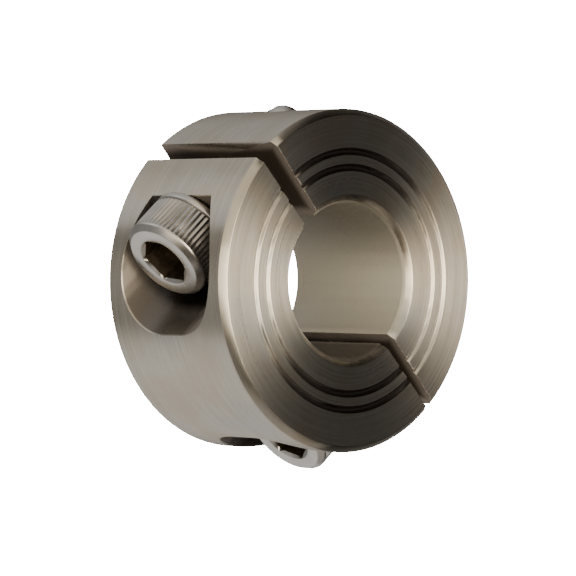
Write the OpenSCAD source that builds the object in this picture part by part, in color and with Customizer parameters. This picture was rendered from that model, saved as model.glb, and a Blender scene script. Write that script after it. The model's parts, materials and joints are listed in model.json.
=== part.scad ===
// Two-piece clamp shaft collar in stainless steel: two half rings, drawn
// together around a shaft by two socket head cap screws.
//
// Millimetres, +Z up. The bore runs along Y and the origin is on its axis, half
// way through the collar. The grooved front face looks toward -Y. The saw cut
// runs from upper left to lower right; both heads are in the lower left half.

/* [Ring] */

// Outer diameter of the ring
outer_d = 17.46; // [12:0.01:40]
// Diameter of the bore, and of the shaft it clamps
bore_d = 7.94; // [3:0.01:20]
// Length of the ring along the shaft
width = 8.73; // [5:0.01:20]
// Chamfer round the outer edge of the grooved face
front_chamfer = 0.33; // [0.05:0.01:1]
// Edge break round the outer edge of the plain face
back_chamfer = 0.1; // [0.05:0.01:1]
// Chamfer at both mouths of the bore
bore_chamfer = 0.38; // [0.05:0.01:1]

/* [Turned grooves] */

// Radius of the outer groove, to its middle
outer_groove_r = 6.55; // [4:0.01:18]
// Radius of the inner groove, to its middle
inner_groove_r = 5.74; // [3:0.01:17]
// Width of each groove at the face
groove_w = 0.35; // [0.1:0.01:1]
// Depth of each groove
groove_depth = 0.11; // [0.05:0.01:0.5]

/* [Saw cut] */

// Slope of the cut, below the horizontal (degrees)
cut_angle = 46.7; // [0:0.1:90]
// Width of the cut on the bore axis
gap = 0.86; // [0.3:0.01:2]
// How far the looser upper screw leaves the tapped half turned (degrees)
lean = 2.4; // [0:0.1:3]

/* [Screw holes] */

// Distance from the bore axis to each screw
screw_offset = 6.15; // [4:0.01:15]
// Distance from the middle of the cut to the floor of a counterbore
seat_depth = 2.72; // [2:0.05:8]
// How far the screws stand from mid-width, toward the plain face
screw_shift = 0.35; // [0:0.05:1]
// Width of each counterbore, across the bore
counterbore_d = 5.22; // [4:0.01:12]
// How much longer each counterbore is than wide, along the bore
counterbore_run = 1.5; // [0:0.1:2]
// Diameter of the clearance hole under each head
clearance_d = 3.3; // [2:0.01:8]
// Radial room between a screw and the tapped hole that it turns in
thread_room = 0.03; // [0.01:0.01:0.1]

/* [Screws] */

// Thread diameter (number 4, 40 turns to the inch)
thread_d = 2.84; // [2:0.01:8]
// Length under the head
screw_length = 8.6; // [5:0.05:20]
// Diameter of the head
head_d = 4.65; // [3:0.01:12]
// Height of the head
head_h = 2.84; // [2:0.01:8]
// Hex key size, across the flats
key_size = 2.38; // [1:0.01:6]
// Depth of the hex socket
socket_depth = 1.3; // [0.5:0.01:4]

/* [Hidden] */

outer_r = outer_d / 2;
bore_r = bore_d / 2;
half_w = width / 2;
head_r = head_d / 2;
thread_r = thread_d / 2;
socket_r = key_size / sqrt(3);
groove_floor = groove_w * 0.3;
head_bevel = 0.25;
head_heel = 0.08;
tip_bevel = 0.3;
socket_mouth = 0.12;
hole_bevel = 0.15;
reach = outer_r + 1;

// How far a leaning head stands from the bore axis, along its own axis, when
// the edge that touches first is 0.01 off the floor of its counterbore
function head_at(x) = (seat_depth + 0.01 - (x - head_r) * sin(lean)) / cos(lean);

$fn = 96;

// The whole ring before it is cut, with its axis along Y
module ring() {
  rotate([90, 0, 0])
    rotate_extrude()
      polygon([
        [bore_r, bore_chamfer - half_w],
        [bore_r + bore_chamfer, -half_w],
        [outer_r - back_chamfer, -half_w],
        [outer_r, back_chamfer - half_w],
        [outer_r, half_w - front_chamfer],
        [outer_r - front_chamfer, half_w],
        [outer_groove_r + groove_w / 2, half_w],
        [outer_groove_r + groove_floor / 2, half_w - groove_depth],
        [outer_groove_r - groove_floor / 2, half_w - groove_depth],
        [outer_groove_r - groove_w / 2, half_w],
        [inner_groove_r + groove_w / 2, half_w],
        [inner_groove_r + groove_floor / 2, half_w - groove_depth],
        [inner_groove_r - groove_floor / 2, half_w - groove_depth],
        [inner_groove_r - groove_w / 2, half_w],
        [bore_r + bore_chamfer, half_w],
        [bore_r, half_w - bore_chamfer],
      ]);
}

// Everything above the plane at this height
module above(height) {
  translate([-reach, -reach, height])
    cube([2 * reach, 2 * reach, reach + 2]);
}

// A counterbored clearance hole, entered from below
module screw_way(x) {
  translate([x, 0, -reach]) {
    for (y = [-counterbore_run / 2, counterbore_run / 2])
      translate([0, y, 0])
        cylinder(h = reach - seat_depth, d = counterbore_d);
    translate([-counterbore_d / 2, -counterbore_run / 2, 0])
      cube([counterbore_d, counterbore_run, reach - seat_depth]);
    translate([0, screw_shift, 0])
      cylinder(h = reach + 1, d = clearance_d);
  }
}

// A threaded hole, drawn plain, with its mouth at the cut broken
module tapped_way(x) {
  hole_r = thread_r + thread_room;
  translate([x, screw_shift, 0])
    cylinder(h = reach, r = hole_r);
  translate([x, screw_shift, gap / 2 - 0.01])
    cylinder(h = hole_bevel + 0.01, r1 = hole_r + hole_bevel + 0.01, r2 = hole_r);
}

// A socket head cap screw, head down, with the underside of its head at z = 0
module cap_screw() {
  difference() {
    rotate_extrude()
      polygon([
        [0, -head_h],
        [head_r - head_bevel, -head_h],
        [head_r, head_bevel - head_h],
        [head_r, -head_heel],
        [head_r - head_heel, 0],
        [thread_r, 0],
        [thread_r, screw_length - tip_bevel],
        [thread_r - tip_bevel, screw_length],
        [0, screw_length],
      ]);
    translate([0, 0, -head_h - 1])
      cylinder(h = socket_depth + 1, r = socket_r, $fn = 6);
    translate([0, 0, -head_h - 0.01])
      cylinder(h = socket_mouth + 0.01, r1 = socket_r + 0.03, r2 = socket_r - socket_mouth);
  }
}

module screw_half() {
  color("silver")
    rotate([0, cut_angle, 0])
      difference() {
        ring();
        above(-gap / 2);
        screw_way(-screw_offset);
        screw_way(screw_offset);
      }
}

module tapped_half() {
  color("darkgray")
    rotate([0, cut_angle + lean, 0])
      difference() {
        intersection() {
          ring();
          above(gap / 2);
        }
        tapped_way(-screw_offset);
        tapped_way(screw_offset);
      }
}

module upper_screw() {
  color("lightgray")
    rotate([0, cut_angle + lean, 0])
      translate([-screw_offset, screw_shift, -head_at(-screw_offset)])
        cap_screw();
}

module lower_screw() {
  color("lightgray")
    rotate([0, cut_angle + lean, 0])
      translate([screw_offset, screw_shift, -head_at(screw_offset)])
        cap_screw();
}

screw_half();
tapped_half();
upper_screw();
lower_screw();
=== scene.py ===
import json
import math
from types import SimpleNamespace

import bpy
from mathutils import Matrix, Vector


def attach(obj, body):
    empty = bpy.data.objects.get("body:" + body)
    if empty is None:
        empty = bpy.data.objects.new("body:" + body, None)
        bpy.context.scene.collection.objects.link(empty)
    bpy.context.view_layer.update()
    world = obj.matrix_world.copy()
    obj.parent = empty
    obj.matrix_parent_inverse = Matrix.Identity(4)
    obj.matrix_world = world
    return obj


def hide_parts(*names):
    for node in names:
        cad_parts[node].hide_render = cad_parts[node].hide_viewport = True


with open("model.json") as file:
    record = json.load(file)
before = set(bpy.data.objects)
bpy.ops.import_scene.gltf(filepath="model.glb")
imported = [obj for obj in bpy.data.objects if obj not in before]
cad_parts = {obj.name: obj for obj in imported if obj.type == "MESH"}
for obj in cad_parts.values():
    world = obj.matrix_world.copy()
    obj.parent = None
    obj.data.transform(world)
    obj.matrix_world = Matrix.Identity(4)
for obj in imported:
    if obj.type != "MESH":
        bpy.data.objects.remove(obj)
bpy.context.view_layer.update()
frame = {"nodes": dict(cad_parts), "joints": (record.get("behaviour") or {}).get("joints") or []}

# The ring, in metres. Y runs along the bore, with the grooved face at -HALF_W, and Z is up.
MM = 0.001
OUTER_R = 8.73 * MM
BORE_R = 3.97 * MM
HALF_W = 4.365 * MM
INNER_GROOVE_R = 5.74 * MM
OUTER_GROOVE_R = 6.55 * MM
CUT_ANGLE = math.radians(46.7)
LEAN = math.radians(2.4)
# A level just above the screws' seats, measured down from the cut.
OVER_SEATS = 2.5 * MM
# Marks per metre: turning marks across their grain, saw marks across and along the cut.
FINE_MARKS, BROAD_MARKS = 9000.0, 1500.0
SAW_ACROSS, SAW_ALONG = 7000.0, 500.0

# The screws, in millimetres.
HEAD_R, HEAD_H, BEVEL = 2.325, 2.84, 0.3
SHANK_R, LENGTH, PITCH = 1.42, 8.6, 0.635
KEY, SOCKET_DEPTH = 2.38, 1.3
RIBS, KNURL = 56, 0.06
RIB_SHAPE = (0.0, 0.55, 1.0, 0.55)
HEAD_STEPS = RIBS * len(RIB_SHAPE)
THREAD_STEPS = 36
TURN = 2 * math.pi
SHARP_ANGLE = math.radians(38)


# ---------------------------------------------------------------- node helpers

def new_material(name):
    material = bpy.data.materials.new(name)
    material.use_nodes = True
    tree = material.node_tree
    shader = next(n for n in tree.nodes if n.type == "BSDF_PRINCIPLED")
    return material, tree, shader


def put(tree, socket, value):
    """Link a socket to another one, or set it to a plain value."""
    if isinstance(value, bpy.types.NodeSocket):
        tree.links.new(value, socket)
    else:
        socket.default_value = value


def calc(tree, operation, a, b=0.0, c=None):
    node = tree.nodes.new("ShaderNodeMath")
    node.operation = operation
    put(tree, node.inputs[0], a)
    put(tree, node.inputs[1], b)
    if c is not None:
        put(tree, node.inputs[2], c)
    return node.outputs[0]


def product(tree, first, *others):
    result = first
    for other in others:
        result = calc(tree, "MULTIPLY", result, other)
    return result


def vector_calc(tree, operation, a, b=(0, 0, 0)):
    node = tree.nodes.new("ShaderNodeVectorMath")
    node.operation = operation
    put(tree, node.inputs[0], a)
    put(tree, node.inputs[1], b)
    return node.outputs["Value" if operation in ("DOT_PRODUCT", "LENGTH") else "Vector"]


def remap(tree, value, start, end, out_start=0.0, out_end=1.0):
    """A smooth step from out_start at start to out_end at end; start may be the larger."""
    node = tree.nodes.new("ShaderNodeMapRange")
    node.interpolation_type = "SMOOTHSTEP"
    for i, number in enumerate((value, start, end, out_start, out_end)):
        put(tree, node.inputs[i], number)
    return node.outputs[0]


def mix(tree, kind, factor, a, b):
    node = tree.nodes.new("ShaderNodeMix")
    node.data_type = kind
    sockets = [s for s in node.inputs if s.enabled]
    for socket, value in zip(sockets, (factor, a, b)):
        put(tree, socket, value)
    return next(s for s in node.outputs if s.enabled)


def mix_colour(tree, factor, a, b):
    return mix(tree, "RGBA", factor, a, b)


def colour(red, green, blue):
    return (red, green, blue, 1)


def noise(tree, vector, scale, detail=3.0, rough=0.55):
    node = tree.nodes.new("ShaderNodeTexNoise")
    put(tree, node.inputs["Vector"], vector)
    node.inputs["Scale"].default_value = scale
    node.inputs["Detail"].default_value = detail
    node.inputs["Roughness"].default_value = rough
    return node.outputs[0]


def join_xyz(tree, x, y, z):
    node = tree.nodes.new("ShaderNodeCombineXYZ")
    for socket, value in zip(node.inputs, (x, y, z)):
        put(tree, socket, value)
    return node.outputs[0]


def split_xyz(tree, vector):
    node = tree.nodes.new("ShaderNodeSeparateXYZ")
    put(tree, node.inputs[0], vector)
    return node.outputs


def bump(tree, height, strength, distance):
    node = tree.nodes.new("ShaderNodeBump")
    node.inputs["Strength"].default_value = strength
    node.inputs["Distance"].default_value = distance
    put(tree, node.inputs["Height"], height)
    return node


def object_place(tree):
    return tree.nodes.new("ShaderNodeTexCoord").outputs["Object"]


# ---------------------------------------------------------------- the half rings' steel

def ring_fields(tree, angle):
    """Where a point lies on the ring: place, normal, radius, hoop direction, and height over the cut."""
    at = SimpleNamespace()
    at.place = object_place(tree)
    at.normal = tree.nodes.new("ShaderNodeNewGeometry").outputs["Normal"]
    at.x, at.y, at.z = split_xyz(tree, at.place)
    at.radius = vector_calc(tree, "LENGTH", join_xyz(tree, at.x, 0.0, at.z))
    minus_x = calc(tree, "MULTIPLY", at.x, -1.0)
    at.hoop = vector_calc(tree, "NORMALIZE", join_xyz(tree, at.z, 0.0, minus_x))
    at.cut_normal = (math.sin(angle), 0.0, math.cos(angle))
    at.height = vector_calc(tree, "DOT_PRODUCT", at.place, at.cut_normal)
    return at


def cut_mask(tree, at):
    """1 on the sawn faces."""
    facing = calc(tree, "ABSOLUTE", vector_calc(tree, "DOT_PRODUCT", at.normal, at.cut_normal))
    off = calc(tree, "ABSOLUTE", at.height)
    return product(tree, remap(tree, facing, 0.96, 0.995), remap(tree, off, 0.6 * MM, 0.5 * MM))


def face_mask(tree, at):
    """1 on the two end faces."""
    along_bore = split_xyz(tree, at.normal)[1]
    return remap(tree, calc(tree, "ABSOLUTE", along_bore), 0.6, 0.9)


def bore_mask(tree, at, on_face):
    """1 on the bore's wall."""
    near = remap(tree, at.radius, BORE_R + 0.15 * MM, BORE_R + 0.08 * MM)
    return product(tree, near, remap(tree, on_face, 0.5, 0.2))


def pocket_mask(tree, at):
    """1 on the walls of the counterbores, between the bore and the outside."""
    under_skin = remap(tree, at.radius, OUTER_R - 0.05 * MM, OUTER_R - 0.12 * MM)
    below_cut = remap(tree, at.height, -OVER_SEATS + 0.1 * MM, -OVER_SEATS - 0.1 * MM)
    off_faces = remap(tree, calc(tree, "ABSOLUTE", at.y), 3.6 * MM, 3.5 * MM)
    off_bore = remap(tree, at.radius, BORE_R + 0.33 * MM, BORE_R + 0.43 * MM)
    return product(tree, under_skin, below_cut, off_faces, off_bore)


def groove_shade_mask(tree, at):
    """1 in the two grooves, at the top and bottom of the ring, where painted shade goes."""
    from_inner = calc(tree, "ABSOLUTE", calc(tree, "SUBTRACT", at.radius, INNER_GROOVE_R))
    from_outer = calc(tree, "ABSOLUTE", calc(tree, "SUBTRACT", at.radius, OUTER_GROOVE_R))
    from_groove = calc(tree, "MINIMUM", from_inner, from_outer)
    in_groove = remap(tree, from_groove, 0.21 * MM, 0.16 * MM)
    at_front = remap(tree, at.y, -4.2 * MM, -4.24 * MM)
    steepness = calc(tree, "DIVIDE", calc(tree, "ABSOLUTE", at.z), at.radius)
    return product(tree, in_groove, at_front, remap(tree, steepness, 0.60, 0.80))


def turning_marks(tree, at, on_face):
    """Fine and broad marks: short across the rings or hoops, and very long along them."""
    across = mix(tree, "FLOAT", on_face, at.y, at.radius)
    hoop_x, _, hoop_z = split_xyz(tree, at.hoop)
    fine = join_xyz(tree, calc(tree, "MULTIPLY", across, FINE_MARKS), hoop_x, hoop_z)
    broad = join_xyz(tree, calc(tree, "MULTIPLY", across, BROAD_MARKS), hoop_z, hoop_x)
    return noise(tree, fine, 1.0, 2.0, 0.6), noise(tree, broad, 1.0, 3.0)


def steel_tone(tree, at, marks):
    """Bare turned stainless, with faint oil colours: straw in some places, blue-grey in others."""
    cloud = noise(tree, at.place, 420.0, 4.0, 0.6)
    oil = noise(tree, at.place, 260.0, 2.0, 0.5)
    patches = remap(tree, cloud, 0.35, 0.7)
    tone = mix_colour(tree, patches, colour(0.57, 0.535, 0.465), colour(0.63, 0.60, 0.54))
    tone = mix_colour(tree, remap(tree, marks, 0.35, 0.75), tone, colour(0.67, 0.645, 0.59))
    tone = mix_colour(tree, remap(tree, oil, 0.52, 0.66, 0.0, 0.5), tone, colour(0.62, 0.53, 0.42))
    return mix_colour(tree, remap(tree, oil, 0.46, 0.34, 0.0, 0.45), tone, colour(0.53, 0.56, 0.58))


def bore_tone_and_shade(tree, at):
    """The bore's wall is duller, with painted shade darkening it toward the top and painted shade at the
    very bottom.
    """
    # painted shade: the wall darkens toward the top
    upward = remap(tree, at.z, 0.5 * MM, 3.8 * MM)
    tone = mix_colour(tree, upward, colour(0.60, 0.585, 0.53), colour(0.42, 0.405, 0.36))
    # painted shade at the very bottom of the bore
    painted_shade_low = remap(tree, at.z, -2.95 * MM, -3.35 * MM)
    return mix_colour(tree, painted_shade_low, tone, colour(0.20, 0.185, 0.17))


def cut_tone_light_and_shade(tree, at):
    """The cut has painted light along its edges and painted shade deeper in the narrow gap."""
    from_bore = calc(tree, "SUBTRACT", at.radius, BORE_R)
    from_outside = calc(tree, "SUBTRACT", OUTER_R, at.radius)
    from_front = calc(tree, "ADD", at.y, HALF_W)
    inside = calc(tree, "MINIMUM", from_bore, calc(tree, "MINIMUM", from_outside, from_front))
    # painted light near the cut's edges, painted shade further into the gap
    painted_light_near_edge = remap(tree, inside, 0.75 * MM, 0.2 * MM)
    return mix_colour(tree, painted_light_near_edge, colour(0.12, 0.10, 0.085), colour(0.48, 0.445, 0.415))


def ring_normal(tree, at):
    """The mesh's normal, but the true round one on the outside, to hide thin triangles by the holes."""
    outside = remap(tree, at.radius, OUTER_R - 0.02 * MM, OUTER_R - 0.006 * MM)
    round_normal = vector_calc(tree, "NORMALIZE", join_xyz(tree, at.x, 0.0, at.z))
    return vector_calc(tree, "NORMALIZE", mix(tree, "VECTOR", outside, at.normal, round_normal))


def saw_marks(tree, at, on_cut):
    """Bump across the sawn faces only."""
    across = calc(tree, "MULTIPLY", at.y, SAW_ACROSS)
    along = calc(tree, "MULTIPLY", at.radius, SAW_ALONG)
    saw = noise(tree, join_xyz(tree, across, along, 0.0), 1.0, 3.0, 0.6)
    return bump(tree, calc(tree, "MULTIPLY", on_cut, saw), 0.3, 0.01 * MM)


def turned_steel(name, angle):
    """Satin turned stainless: rings on the faces, hoops on the outside, saw marks on the cut."""
    material, tree, shader = new_material(name)
    at = ring_fields(tree, angle)
    on_cut = cut_mask(tree, at)
    on_face = face_mask(tree, at)
    on_bore = bore_mask(tree, at, on_face)
    in_pocket = pocket_mask(tree, at)
    fine, broad = turning_marks(tree, at, on_face)

    tone = steel_tone(tree, at, fine)
    # painted shade in the grooves at the ring's top and bottom
    tone = mix_colour(tree, groove_shade_mask(tree, at), tone, colour(0.20, 0.185, 0.17))
    tone = mix_colour(tree, on_bore, tone, bore_tone_and_shade(tree, at))
    # painted shade on the counterbores' walls
    tone = mix_colour(tree, in_pocket, tone, colour(0.23, 0.21, 0.19))
    # painted light and painted shade on the sawn faces
    tone = mix_colour(tree, on_cut, tone, cut_tone_light_and_shade(tree, at))
    put(tree, shader.inputs["Base Color"], tone)

    rough = calc(tree, "MULTIPLY_ADD", fine, 0.06, calc(tree, "MULTIPLY_ADD", broad, 0.08, 0.22))
    for mask, value in ((on_bore, 0.85), (in_pocket, 0.45), (on_cut, 0.85)):
        rough = mix(tree, "FLOAT", mask, rough, value)
    put(tree, shader.inputs["Roughness"], rough)
    shader.inputs["Metallic"].default_value = 1.0
    shader.inputs["Anisotropic"].default_value = 0.9

    normal = ring_normal(tree, at)
    grain = vector_calc(tree, "CROSS_PRODUCT", normal, at.hoop)
    put(tree, shader.inputs["Tangent"], mix(tree, "VECTOR", on_cut, grain, (0.0, 1.0, 0.0)))
    marks = saw_marks(tree, at, on_cut)
    put(tree, marks.inputs["Normal"], normal)
    put(tree, shader.inputs["Normal"], marks.outputs[0])
    return material


# ---------------------------------------------------------------- the screws' steel

def screw_steel(name):
    """Bright rolled and knurled stainless, darker in the hollows."""
    material, tree, shader = new_material(name)
    place = object_place(tree)
    cloud = noise(tree, place, 900.0, 5.0, 0.6)
    fine = noise(tree, place, 6000.0, 3.0, 0.6)
    hollow = tree.nodes.new("ShaderNodeNewGeometry").outputs["Pointiness"]
    patches = remap(tree, cloud, 0.3, 0.7)
    tone = mix_colour(tree, patches, colour(0.60, 0.59, 0.57), colour(0.70, 0.69, 0.68))
    # darker where the surface is hollow
    tone = mix_colour(tree, remap(tree, hollow, 0.49, 0.44), tone, colour(0.22, 0.20, 0.18))
    put(tree, shader.inputs["Base Color"], tone)
    put(tree, shader.inputs["Roughness"], calc(tree, "MULTIPLY_ADD", cloud, 0.18, 0.22))
    shader.inputs["Metallic"].default_value = 1.0
    put(tree, shader.inputs["Normal"], bump(tree, fine, 0.15, 0.01 * MM).outputs[0])
    return material


def shade_painted_steel(name):
    """Steel painted dark as shade, in the hex sockets and on the screws' tips."""
    material, tree, shader = new_material(name)
    cloud = noise(tree, object_place(tree), 1600.0, 4.0, 0.6)
    patches = remap(tree, cloud, 0.35, 0.65)
    tone = mix_colour(tree, patches, colour(0.07, 0.052, 0.035), colour(0.12, 0.095, 0.066))
    put(tree, shader.inputs["Base Color"], tone)
    put(tree, shader.inputs["Roughness"], calc(tree, "MULTIPLY_ADD", cloud, 0.3, 0.3))
    shader.inputs["Metallic"].default_value = 0.8
    return material


# ---------------------------------------------------------------- the screws' shape

def hexagon(angle):
    """Distance from the middle of the socket to its wall."""
    wedge = (angle + math.pi / 6) % (math.pi / 3) - math.pi / 6
    return KEY / 2 / math.cos(wedge)


def head_row(z, radius, knurl=0.0):
    """One row of points round the head; radius is a length or a function of the angle."""
    row = []
    for i in range(HEAD_STEPS):
        angle = TURN * i / HEAD_STEPS
        r = radius(angle) if callable(radius) else radius
        r -= knurl * RIB_SHAPE[i % len(RIB_SHAPE)]
        row.append(Vector((r * math.cos(angle), r * math.sin(angle), z)))
    return row


def socket_rows():
    """The hex socket, from its bottom up to the broken mouth on the face."""
    bottom = -HEAD_H + SOCKET_DEPTH
    corner = KEY / math.sqrt(3)
    return [
        head_row(bottom, lambda angle: 0.25 * hexagon(angle)),
        head_row(bottom - 0.02, lambda angle: 0.99 * hexagon(angle)),
        head_row(bottom - 0.10, hexagon),
        head_row(-HEAD_H + 0.20, hexagon),
        head_row(-HEAD_H + 0.13, hexagon),
        head_row(-HEAD_H + 0.02, lambda angle: max(hexagon(angle) + 0.03, corner)),
        head_row(-HEAD_H, lambda angle: max(hexagon(angle) + 0.07, corner + 0.04)),
    ]


def head_rows():
    """The head's outside, from its face over the rim, the knurl and a plain strip to the shank."""
    rows = [head_row(-HEAD_H, HEAD_R - BEVEL - 0.25), head_row(-HEAD_H, HEAD_R - BEVEL - 0.02)]
    # the rounded bevel: distance down from the face, and inward from the side
    rim = ((0.008, 0.29), (0.035, 0.26), (0.13, 0.155), (0.225, 0.06), (0.262, 0.03), (0.31, 0.01))
    for down, inward in rim:
        rows.append(head_row(-HEAD_H + down, HEAD_R - inward))
    rows.append(head_row(-HEAD_H + BEVEL + 0.06, HEAD_R - 0.005))
    knurl_start, knurl_end, knurl_bands = -HEAD_H + BEVEL + 0.13, -0.56, 5
    for k in range(knurl_bands + 1):
        z = knurl_start + (knurl_end - knurl_start) * k / knurl_bands
        rows.append(head_row(z, HEAD_R, KNURL))
    # a neck under the knurl, then the plain strip: height, and distance inward from the side
    neck = ((-0.51, 0.09), (-0.46, 0.09), (-0.42, 0.03))
    strip = ((-0.38, 0.005), (-0.16, 0.005), (-0.06, 0.05), (0.0, 0.13))
    for z, inward in neck + strip:
        rows.append(head_row(z, HEAD_R - inward))
    rows.append(head_row(0.0, SHANK_R + 0.12))
    rows.append(head_row(0.0, SHANK_R - 0.005))
    rows.append(head_row(0.35, SHANK_R - 0.02))
    return rows


def join_rows(faces, first, row_count, steps):
    """Faces between neighbouring rows of steps points each, which start at point first."""
    for j in range(row_count - 1):
        low = first + j * steps
        high = low + steps
        for i in range(steps):
            k = (i + 1) % steps
            faces.append((low + i, low + k, high + k, high + i))


def add_head(verts, faces):
    """The head with its socket. Returns the numbers of the socket's faces with painted shade."""
    rows = socket_rows() + head_rows()
    for row in rows:
        verts.extend(row)
    join_rows(faces, 0, len(rows), HEAD_STEPS)
    centre = len(verts)
    verts.append(Vector((0, 0, -HEAD_H + SOCKET_DEPTH)))
    floor_start = len(faces)
    for i in range(HEAD_STEPS):
        faces.append((centre, (i + 1) % HEAD_STEPS, i))
    wall_bands = 4
    return set(range(wall_bands * HEAD_STEPS)) | set(range(floor_start, len(faces)))


def add_thread(verts, faces, core_r):
    """One strip wound round the shank, with its ends faded into the core."""
    crest_r = SHANK_R - 0.005
    # one turn's section: distance along the screw, and radius
    profile = ((0.0, core_r), (0.20, crest_r), (0.27, crest_r), (0.47, core_r))
    width = len(profile)
    start, end = 0.45, LENGTH - 0.02
    count = int(((end - start) / PITCH - 1.0) * THREAD_STEPS)
    first = len(verts)
    for i in range(count + 1):
        angle = TURN * i / THREAD_STEPS
        fade = max(0.0, min(1.0, i / (0.7 * THREAD_STEPS), (count - i) / (0.9 * THREAD_STEPS)))
        for rise, r in profile:
            r = core_r + (r - core_r) * fade
            z = start + PITCH * i / THREAD_STEPS + rise
            verts.append(Vector((r * math.cos(angle), r * math.sin(angle), z)))
    for i in range(count):
        here = first + i * width
        for p in range(here, here + width - 1):
            faces.append((p, p + width, p + width + 1, p + 1))
        if i + THREAD_STEPS <= count:
            # the root, between this turn's last line and the next turn's first
            last = here + width - 1
            above = first + (i + THREAD_STEPS) * width
            faces.append((last, last + width, above + width, above))


def add_core(verts, faces, core_r):
    """The core under the thread, closed at the tip. Returns the numbers of the tip's faces with painted
    shade.
    """
    rows = (
        (0.35, SHANK_R - 0.02),
        (0.42, core_r + 0.002),
        (LENGTH - 0.25, core_r + 0.002),
        (LENGTH - 0.02, core_r - 0.16),
        (LENGTH, core_r - 0.2),
    )
    first = len(verts)
    for z, r in rows:
        for i in range(THREAD_STEPS):
            angle = TURN * i / THREAD_STEPS
            verts.append(Vector((r * math.cos(angle), r * math.sin(angle), z)))
    shank_bands = 2
    tip_start = len(faces) + shank_bands * THREAD_STEPS
    join_rows(faces, first, len(rows), THREAD_STEPS)
    last_row = len(verts) - THREAD_STEPS
    tip = len(verts)
    verts.append(Vector((0, 0, LENGTH)))
    for i in range(THREAD_STEPS):
        faces.append((tip, last_row + i, last_row + (i + 1) % THREAD_STEPS))
    return set(range(tip_start, len(faces)))


def screw_mesh(name):
    """A screw with the underside of its head at z = 0 and its tip at z = LENGTH."""
    verts, faces = [], []
    core_r = SHANK_R - 0.27
    dark = add_head(verts, faces)
    add_thread(verts, faces, core_r)
    dark |= add_core(verts, faces, core_r)
    mesh = bpy.data.meshes.new(name)
    mesh.from_pydata([v * MM for v in verts], [], faces)
    # the socket's and tip's faces take the second material, which is painted shade
    mesh.polygons.foreach_set("material_index", [int(number in dark) for number in range(len(faces))])
    mesh.validate()
    mesh.polygons.foreach_set("use_smooth", [True] * len(mesh.polygons))
    mesh.set_sharp_from_angle(angle=SHARP_ANGLE)
    return mesh


def add_screw(name, joint_name, materials, turn):
    """Put a detailed screw on its joint's axis, turned by some degrees, in place of the CAD one."""
    joint = next(j for j in frame["joints"] if j["name"] == joint_name)
    up = -Vector(joint["axis"]).normalized()
    side = Vector((math.cos(CUT_ANGLE + LEAN), 0, -math.sin(CUT_ANGLE + LEAN)))
    basis = Matrix((side, up.cross(side), up)).transposed().to_4x4()
    turned = Matrix.Rotation(math.radians(turn), 4, "Z")
    mesh = screw_mesh(name + "_detail")
    mesh.transform(Matrix.Translation(Vector(joint["pos_m"])) @ basis @ turned)
    obj = bpy.data.objects.new(name + "_detail", mesh)
    bpy.context.scene.collection.objects.link(obj)
    for material in materials:
        mesh.materials.append(material)
    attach(obj, name)
    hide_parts(name)


# the second metal is painted shade, for the sockets and the tips
screw_metals = screw_steel("screw_metal"), shade_painted_steel("painted_shade_metal")
add_screw("upper_screw", "upper_screw_turn", screw_metals, 8)
add_screw("lower_screw", "lower_screw_turn", screw_metals, 20)


# ---------------------------------------------------------------- half rings

def finish_half(node, angle):
    """Give a CAD half ring its steel, and break its sharp edges by 0.05 mm."""
    half = frame["nodes"][node]
    half.data.materials.clear()
    half.data.materials.append(turned_steel(node + "_metal", angle))
    weld = half.modifiers.new("weld", "WELD")
    weld.merge_threshold = 0.002 * MM
    edge = half.modifiers.new("edges", "BEVEL")
    edge.width = 0.05 * MM
    edge.segments = 2
    edge.limit_method = "ANGLE"
    edge.angle_limit = math.radians(35)
    edge.harden_normals = True
    edge.use_clamp_overlap = True


finish_half("screw_half", CUT_ANGLE)
finish_half("tapped_half", CUT_ANGLE + LEAN)


# ---------------------------------------------------------------- floor

def add_floor(height, radius, sides=64):
    """A round pale floor, well below the part and out of the camera's sight."""
    angles = [TURN * i / sides for i in range(sides)]
    edge = [(radius * math.cos(angle), radius * math.sin(angle), height) for angle in angles]
    mesh = bpy.data.meshes.new("floor")
    mesh.from_pydata(edge, [], [tuple(range(sides))])
    floor = bpy.data.objects.new("floor", mesh)
    bpy.context.scene.collection.objects.link(floor)
    material, _, shader = new_material("floor_paint")
    shader.inputs["Base Color"].default_value = colour(0.85, 0.85, 0.85)
    shader.inputs["Roughness"].default_value = 0.8
    floor.data.materials.append(material)


add_floor(-0.6, 0.36)


# ---------------------------------------------------------------- studio light

# The grooved face mirrors the camera's rays to x = MIRROR_X, level with the part. The chamfer and
# groove walls at the ring's top and bottom mirror them to z = MIRROR_Z above and below that.
MIRROR_X = 0.676
MIRROR_Z = 0.737
# What the camera itself sees, strong enough to come out white.
BACKDROP_LEVEL = 30.0


def front_level(tree, x, z, steep, aside):
    """In front: two wide softboxes, with a dark flag between them that the grooved face mirrors."""
    flag = remap(tree, aside, 0.20, 0.53, 0.009, 1.0)
    near_level = remap(tree, steep, 0.08, 0.42, 8.5, 0.08)
    weaker_left = remap(tree, x, -0.75, -0.1, 0.22, 1.0)
    boxes = product(tree, flag, near_level, weaker_left)
    # upper left: a taller and weaker box, for the chamfer
    tall = product(tree, remap(tree, x, 0.15, -0.15, 0.0, 0.9), remap(tree, z, 0.15, 0.40))
    return calc(tree, "MAXIMUM", boxes, tall)


def wall_level(tree, way, z, steep):
    """Behind: a pale wall, darker overhead and in a band level with the part."""
    upward = remap(tree, z, -0.2, 0.75, 0.80, 0.50)
    band = remap(tree, steep, 0.36, 0.52, 0.30, 1.0)
    wall = product(tree, upward, band)
    # dark patches above and below the flag, for the chamfer and groove walls
    for patch_z in (MIRROR_Z, -MIRROR_Z):
        near = vector_calc(tree, "DOT_PRODUCT", way, (MIRROR_X, 0.0, patch_z))
        wall = product(tree, wall, remap(tree, near, 0.80, 0.97, 1.0, 0.12))
    return wall


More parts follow.
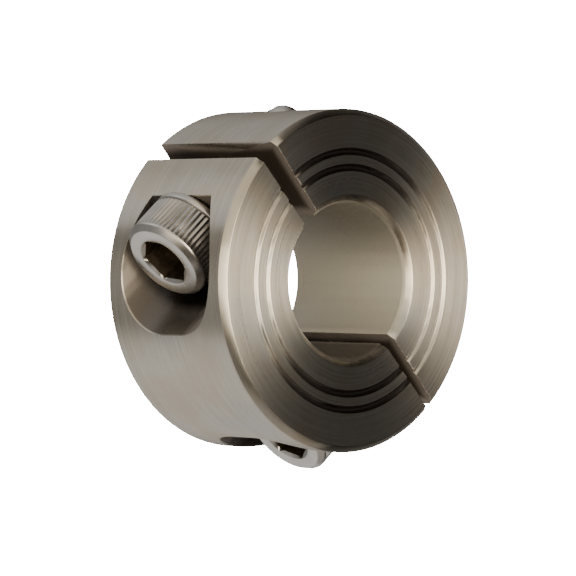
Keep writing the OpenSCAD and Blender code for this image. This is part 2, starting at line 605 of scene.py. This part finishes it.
def light_tint(tree, in_front, aside):
    """Warm softboxes, and a more neutral flag and wall."""
    off_flag = remap(tree, aside, 0.15, 0.50)
    front = mix_colour(tree, off_flag, colour(1.0, 0.95, 0.90), colour(1.0, 0.86, 0.66))
    return mix_colour(tree, in_front, colour(1.0, 0.96, 0.90), front)


def add_studio():
    """The surroundings that the steel mirrors; the camera itself sees plain white."""
    world = bpy.data.worlds.new("studio")
    bpy.context.scene.world = world
    world.use_nodes = True
    tree = world.node_tree
    background = next(n for n in tree.nodes if n.type == "BACKGROUND")
    way = tree.nodes.new("ShaderNodeTexCoord").outputs["Generated"]
    x, y, z = split_xyz(tree, way)
    steep = calc(tree, "ABSOLUTE", z)
    aside = calc(tree, "ABSOLUTE", calc(tree, "SUBTRACT", x, MIRROR_X))
    in_front = remap(tree, y, 0.15, -0.25)
    seen = tree.nodes.new("ShaderNodeLightPath").outputs["Is Camera Ray"]
    front = front_level(tree, x, z, steep, aside)
    wall = wall_level(tree, way, z, steep)
    level = mix(tree, "FLOAT", in_front, wall, front)
    level = mix(tree, "FLOAT", seen, level, BACKDROP_LEVEL)
    tint = mix_colour(tree, seen, light_tint(tree, in_front, aside), colour(1, 1, 1))
    put(tree, background.inputs["Color"], tint)
    put(tree, background.inputs["Strength"], level)


def add_lamp(name, at, size, power):
    """A square soft lamp that points at the part."""
    lamp = bpy.data.lights.new(name, "AREA")
    lamp.shape = "RECTANGLE"
    lamp.size = size
    lamp.size_y = size
    lamp.energy = power
    obj = bpy.data.objects.new(name, lamp)
    obj.location = at
    obj.rotation_mode = "QUATERNION"
    obj.rotation_quaternion = (-Vector(at)).to_track_quat("-Z", "Y")
    bpy.context.scene.collection.objects.link(obj)


add_studio()
add_lamp("key", (-0.30, 0.20, 0.30), 0.25, 0.12)


# ---------------------------------------------------------------- camera

# Angles of the view, and the camera's place in outer radii from the middle of the grooved face.
YAW, ROLL = math.radians(42.49), math.radians(0.84)
DISTANCE, LEFT, RISE = 22.794, 0.3671, -0.0424
# Focal length and width of the frame, in pixels, and the sensor's width in millimetres.
FOCAL, FRAME_W, SENSOR_W = 3928.9, 576, 36


def add_camera():
    flat_right = Vector((math.cos(YAW), -math.sin(YAW), 0))
    flat_up = Vector((0, 0, 1))
    right = flat_right * math.cos(ROLL) + flat_up * math.sin(ROLL)
    top = flat_up * math.cos(ROLL) - flat_right * math.sin(ROLL)
    behind = Vector((-math.sin(YAW), -math.cos(YAW), 0))
    eye = Vector((0, -HALF_W, 0)) + OUTER_R * (behind * DISTANCE - right * LEFT + top * RISE)
    lens = bpy.data.cameras.new("camera")
    lens.sensor_width = SENSOR_W
    lens.lens = FOCAL * SENSOR_W / FRAME_W
    lens.clip_start = 0.01
    lens.clip_end = 10
    camera = bpy.data.objects.new("camera", lens)
    bpy.context.scene.collection.objects.link(camera)
    camera.matrix_world = Matrix.Translation(eye) @ Matrix((right, top, behind)).transposed().to_4x4()
    bpy.context.scene.camera = camera


add_camera()
